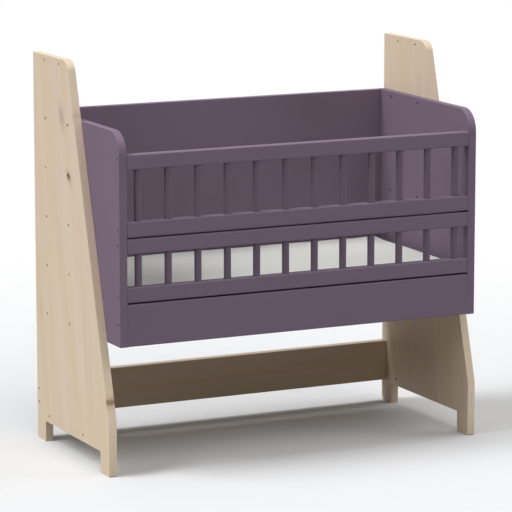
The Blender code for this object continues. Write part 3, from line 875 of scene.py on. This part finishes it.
class CRIB_OT_box(bpy.types.Operator):
    """Round and finish the lacquered box: ends, back and apron, the back board with paler lacquer
    as painted light.
    """

    bl_idname = "crib.box"
    bl_label = "Box"

    def execute(self, context):
        lacquer = lacquer_finish("matt_aubergine", 1.0)
        # Painted light: the back board's lacquer is made 8% paler to stand in for more light
        # reaching the inside of the box.
        lit_back_lacquer = lacquer_finish("panel_aubergine", 1.08)
        arris = context.scene.crib_lacquer.arris
        for node, name, finish in (("end_panel_left", "left_end", lacquer),
                                   ("end_panel_right", "right_end", lacquer),
                                   ("back_panel", "back_board", lit_back_lacquer),
                                   ("front_apron", "apron_board", lacquer)):
            rounded_board(node, name, finish, FRAME_BODY, "aubergine_lacquer", arris)
        return {"FINISHED"}


class CRIB_OT_gates(bpy.types.Operator):
    """Round the rails of both gates and set in their rows of dowels."""

    bl_idname = "crib.gates"
    bl_label = "Gates"

    def execute(self, context):
        lacquer = bpy.data.materials["matt_aubergine"]
        # Dowel lacquer darkened by the painted shade scale, standing in for the shade under the
        # rails.
        turned = lacquer_finish("turned_aubergine", context.scene.crib_dowels.tone)
        arris = context.scene.crib_lacquer.arris
        tree = dowel_tree()
        for gate in GATES:
            for rail in ("_bottom_rail", "_top_rail"):
                rounded_board(gate + rail, gate + rail + "_round", lacquer, gate,
                              "aubergine_lacquer", arris)
            nodes = sorted(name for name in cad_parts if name.startswith(gate + "_dowel_"))
            boxes = [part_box(name) for name in nodes]
            low, high = boxes[0]
            spacing = (boxes[-1][0].x - low.x) / (len(nodes) - 1)
            row = grow(gate + "_dowels", tree, {
                "Count": len(nodes), "First": (low + high) / 2, "Spacing": (spacing, 0, 0),
                "Radius": (high.x - low.x) / 2, "Length": high.z - low.z,
                "Facets": context.scene.crib_dowels.facets, "Material": turned})
            put_on(row, gate, "aubergine_lacquer", *nodes)
        return {"FINISHED"}


class CRIB_OT_fasteners(bpy.types.Operator):
    """Make the bolts, pins and screws with hexagon sockets."""

    bl_idname = "crib.fasteners"
    bl_label = "Bolts, pins and screws"

    def execute(self, context):
        settings = context.scene.crib_fasteners
        steel = steel_finish()
        tree = fastener_tree()
        groups = {"box_bolts": "box_bolt_", "stretcher_bolts": "stretcher_bolt_",
                  "gate_pins": "_pin_", "apron_screws": "apron_screw_"}
        for name, word in groups.items():
            nodes = sorted(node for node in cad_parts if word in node)
            boxes = [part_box(node) for node in nodes]
            low, high = boxes[0]
            points = bpy.data.meshes.new(name + "_points")
            points.from_pydata([(a + b) / 2 for a, b in boxes], [], [])
            row = grow(name, tree, {
                "Radius": (high.z - low.z) / 2, "Length": high.x - low.x,
                "Socket": (high.z - low.z) * 0.566, "Socket Depth": settings.socket_depth,
                "Facets": settings.facets, "Material": steel}, points)
            put_on(row, FRAME_BODY, "plated_steel", *nodes)
        return {"FINISHED"}


class CRIB_OT_base(bpy.types.Operator):
    """Finish the plywood base board."""

    bl_idname = "crib.base"
    bl_label = "Base board"

    def execute(self, context):
        rounded_board("base_board", "slat_board", plywood_finish(), FRAME_BODY, "plywood", 0.0005)
        return {"FINISHED"}


class CRIB_OT_mattress(bpy.types.Operator):
    """Blow up the mattress, and sew its corded seams."""

    bl_idname = "crib.mattress"
    bl_label = "Mattress"

    def execute(self, context):
        settings = context.scene.crib_mattress
        low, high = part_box("mattress")
        pad = self.shell(settings, low, high)
        remesh = pad.modifiers.new("grid", "REMESH")
        remesh.mode = "VOXEL"
        remesh.voxel_size = settings.voxel
        pad.data = plain_mesh(pad, "soft_mattress_grid")
        pad.modifiers.remove(remesh)
        blow_up(pad, low.z + 0.002, settings.rise)
        round_off = pad.modifiers.new("smooth", "SUBSURF")
        round_off.levels = round_off.render_levels = 1
        pad.data = plain_mesh(pad, "soft_mattress")
        pad.modifiers.remove(round_off)
        self.rumple(pad.data, low, high)
        self.pull_edge(settings, pad.data, low, high)
        pad.data.materials.clear()
        pad.data.materials.append(cover_finish())
        pad.data.shade_smooth()
        put_on(pad, "mattress", "mattress_cover", "mattress")
        self.sew(settings, pad.data, low, high)
        return {"FINISHED"}

    @staticmethod
    def shell(settings, low, high):
        """Closed slab, a little smaller than the CAD mattress, with eased edges."""
        ease = settings.ease
        start_x = (high.x - low.x) / 2 - settings.shrink
        start_y = (high.y - low.y) / 2 - settings.shrink
        middle_y = (low.y + high.y) / 2
        top = high.z - settings.crown - settings.shrink
        rings = []
        for inset, z in ((ease, low.z), (ease * 0.3, low.z + ease * 0.3), (0, low.z + ease),
                         (0, top - ease), (ease * 0.3, top - ease * 0.3), (ease, top),
                         (settings.slope, top + settings.crown * 0.3)):
            radius = max(settings.corner - inset, 0.004)
            rings.append((slab_outline(start_x - inset, start_y - inset, middle_y, radius), z))
        return link("soft_mattress", slab_mesh("soft_mattress", rings))

    @staticmethod
    def rumple(mesh, low, high):
        """Slow dents in the top and the sides, then a stretch to the CAD mattress's size."""
        places = points_of(mesh)
        normals = np.array([vertex.normal for vertex in mesh.vertices])
        dents = np.array([noise.noise(Vector((x * 8, y * 8, z * 20))) for x, y, z in places])
        free = np.clip((places[:, 2] - low.z) / DENT_FADE, 0, 1)
        places += normals * (dents * DENT_DEPTH * free)[:, None]
        start, size = places.min(0), np.ptp(places, 0)
        places = (places - start) / size * np.array(high - low) + np.array(low)
        set_points(mesh, places)

    @staticmethod
    def pull_edge(settings, mesh, low, high):
        """Draw the top edge out and up to its corded seam, which keeps it crisp."""
        places = points_of(mesh)
        middle = np.array([(low.x + high.x) / 2, (low.y + high.y) / 2])
        half = np.array([(high.x - low.x) / 2, (high.y - low.y) / 2])
        across = places[:, :2] - middle
        inset = half - abs(across)
        near = np.exp(-(inset / LIFT_REACH) ** 2)
        height = np.clip((places[:, 2] - high.z + LIFT_FOOT) / LIFT_BAND, 0, 1) ** 2
        lift = (1 - (1 - near[:, 0]) * (1 - near[:, 1])) * height * settings.pull
        bend = settings.corner + 0.002
        out = np.maximum(bend - inset, 0)
        length = np.linalg.norm(out, axis=1)
        depth = np.clip(bend - length, SIDE_SPARE, None)
        side = np.clip(1 - depth / BEND_DEPTH, 0, 1)
        level = high.z - settings.crown - 0.001
        over = np.clip(1 - (level - places[:, 2]) / BEND_DEPTH, 0, 1)
        push = np.minimum((side * over) ** 2 * settings.pull * 4, depth - SIDE_SPARE)
        out *= (push / np.maximum(length, 1e-9))[:, None] * np.sign(across)
        places[:, :2] += out
        places[:, 2] += lift
        set_points(mesh, places)

    @staticmethod
    def sew(settings, mesh, low, high):
        """Corded seams round both edges, and a row of stitches on the top."""
        thread = thread_finish()
        skin = BVHTree.FromPolygons([v.co for v in mesh.vertices],
                                    [p.vertices for p in mesh.polygons])
        edge = high - Vector((0, 0, settings.crown))
        loops = [edge_loop(skin, low, edge, SEAM_CORE, rise, settings.piping * CORD_SINK)
                 for rise in (1.0, -1.0)]
        cord = grow("mattress_cord", cord_tree(), {"Radius": settings.piping, "Material": thread},
                    loop_mesh("cord_path", loops))
        put_on(cord, "mattress", "mattress_cover")
        loop = panel_loop(skin, low, high, PANEL_INSET, PANEL_CORNER)
        rows = grow("mattress_stitches", stitch_tree(), {
            "Spacing": settings.stitch, "Length": settings.stitch * STITCH_SHARE,
            "Thickness": settings.piping * STITCH_THICKNESS, "Material": thread},
            loop_mesh("stitch_path", [loop]))
        put_on(rows, "mattress", "mattress_cover")


class CRIB_OT_stage(bpy.types.Operator):
    """Set up the floor, the light and the camera."""

    bl_idname = "crib.stage"
    bl_label = "Floor, light and camera"

    def execute(self, context):
        scene = context.scene
        stage = scene.crib_stage
        scene.view_settings.view_transform = "Standard"
        camera = link("photo_camera", bpy.data.cameras.new("photo_camera"))
        camera.location = stage.camera
        camera.rotation_euler = (math.pi / 2 - stage.pitch, 0, -stage.yaw)
        camera.data.sensor_width = 36
        camera.data.lens = stage.lens
        camera.data.clip_end = 200
        scene.camera = camera
        self.light(scene, stage)
        mesh = bpy.data.meshes.new("floor")
        reach = 60
        mesh.from_pydata([(-reach, -reach, 0), (reach, -reach, 0),
                          (reach, reach, 0), (-reach, reach, 0)], [], [(0, 1, 2, 3)])
        mesh.materials.append(self.floor_finish(stage))
        floor = link("floor", mesh)
        return {"FINISHED"}

    @staticmethod
    def light(scene, stage):
        """Soft suns, and a world that the camera sees as white."""
        lamps = (("overhead", stage.above * 0.88, 140, 0, 0),
                 ("zenith", stage.above * 0.47, 18, 0, 0),
                 ("high_left", stage.left * 1.19, 18, 30, -110),
                 ("mid_left", stage.left * 0.91, 18, 45, -90),
                 ("low_left", stage.left * 0.53, 50, 60, -90),
                 ("front_left", stage.left * 0.22, 30, 70, -65),
                 ("low_right", stage.right * 0.53, 50, 60, 90),
                 ("front_right", stage.right * 0.63, 30, 70, 65),
                 ("front", stage.front * 0.85, 40, 40, 0))
        for name, strength, width, tilt, turn in lamps:
            data = bpy.data.lights.new(name + "_lamp", "SUN")
            data.energy = strength
            data.angle = math.radians(width)
            lamp = link(name + "_lamp", data)
            lamp.rotation_euler = (math.radians(tilt), 0, math.radians(turn))
        world = bpy.data.worlds.new("studio")
        world.use_nodes = True
        scene.world = world
        bench = Bench(world.node_tree)
        strength = bench.seen() * (1.0 - stage.ambient) + stage.ambient
        background = world.node_tree.nodes["Background"]
        world.node_tree.links.new(strength.socket, background.inputs["Strength"])
        background.inputs["Color"].default_value = (1, 1, 1, 1)

    @staticmethod
    def floor_finish(stage):
        """Pale floor that fades to white away from the crib."""
        finish = Finish("studio_floor")
        x, y, _ = finish.place()
        far = finish.maths("SQRT", x * x + y * y)
        fade = finish.step(far, 0.9, 2.6)
        seen = finish.seen()
        grain = finish.noise(finish.vector(x, y, 0.0), 18.0, 3.0)
        base = Vector(stage.floor)
        pale = finish.mix(grain, tuple(base * 0.995), tuple(base * 1.005))
        finish.finish(base_color=finish.mix(seen, (stage.bounce,) * 3, pale),
                      roughness=0.9, specular_ior_level=0.0)
        white = finish.node("ShaderNodeEmission", None, {"Color": (1, 1, 1, 1), "Strength": 1.0})
        output = finish.tree.nodes["Material Output"]
        blend = finish.tree.nodes.new("ShaderNodeMixShader")
        finish.tree.links.new((fade * seen).socket, blend.inputs[0])
        finish.tree.links.new(finish.shader.outputs[0], blend.inputs[1])
        finish.tree.links.new(white.socket, blend.inputs[2])
        finish.tree.links.new(blend.outputs[0], output.inputs[0])
        return finish.material


OPERATORS = (CRIB_OT_stands, CRIB_OT_box, CRIB_OT_gates, CRIB_OT_fasteners,
             CRIB_OT_base, CRIB_OT_mattress, CRIB_OT_stage)


class CRIB_PT_sidebar(bpy.types.Panel):
    """Sizes, colours and steps of the crib."""

    bl_idname = "CRIB_PT_sidebar"
    bl_label = "Bedside crib"
    bl_space_type = "VIEW_3D"
    bl_region_type = "UI"
    bl_category = "Crib"

    def draw(self, context):
        for operator in OPERATORS:
            self.layout.operator(operator.bl_idname)
        for name in SETTINGS:
            group = getattr(context.scene, name)
            part = self.layout.box()
            part.label(text=name.replace("_", " ").capitalize())
            for field in SETTINGS[name].__annotations__:
                part.prop(group, field)


def register():
    """Register the settings, the operators and the panel."""
    for name, group in SETTINGS.items():
        bpy.utils.register_class(group)
        setattr(bpy.types.Scene, name, bpy.props.PointerProperty(type=group))
    for operator in OPERATORS:
        bpy.utils.register_class(operator)
    bpy.utils.register_class(CRIB_PT_sidebar)


def unregister():
    """Take the panel, the operators and the settings out again."""
    bpy.utils.unregister_class(CRIB_PT_sidebar)
    for operator in reversed(OPERATORS):
        bpy.utils.unregister_class(operator)
    for name, group in SETTINGS.items():
        delattr(bpy.types.Scene, name)
        bpy.utils.unregister_class(group)


def main():
    """Make every piece in order."""
    register()
    for step in ("stands", "box", "gates", "fasteners", "base", "mattress", "stage"):
        getattr(bpy.ops.crib, step)()


if __name__ == "__main__":
    main()
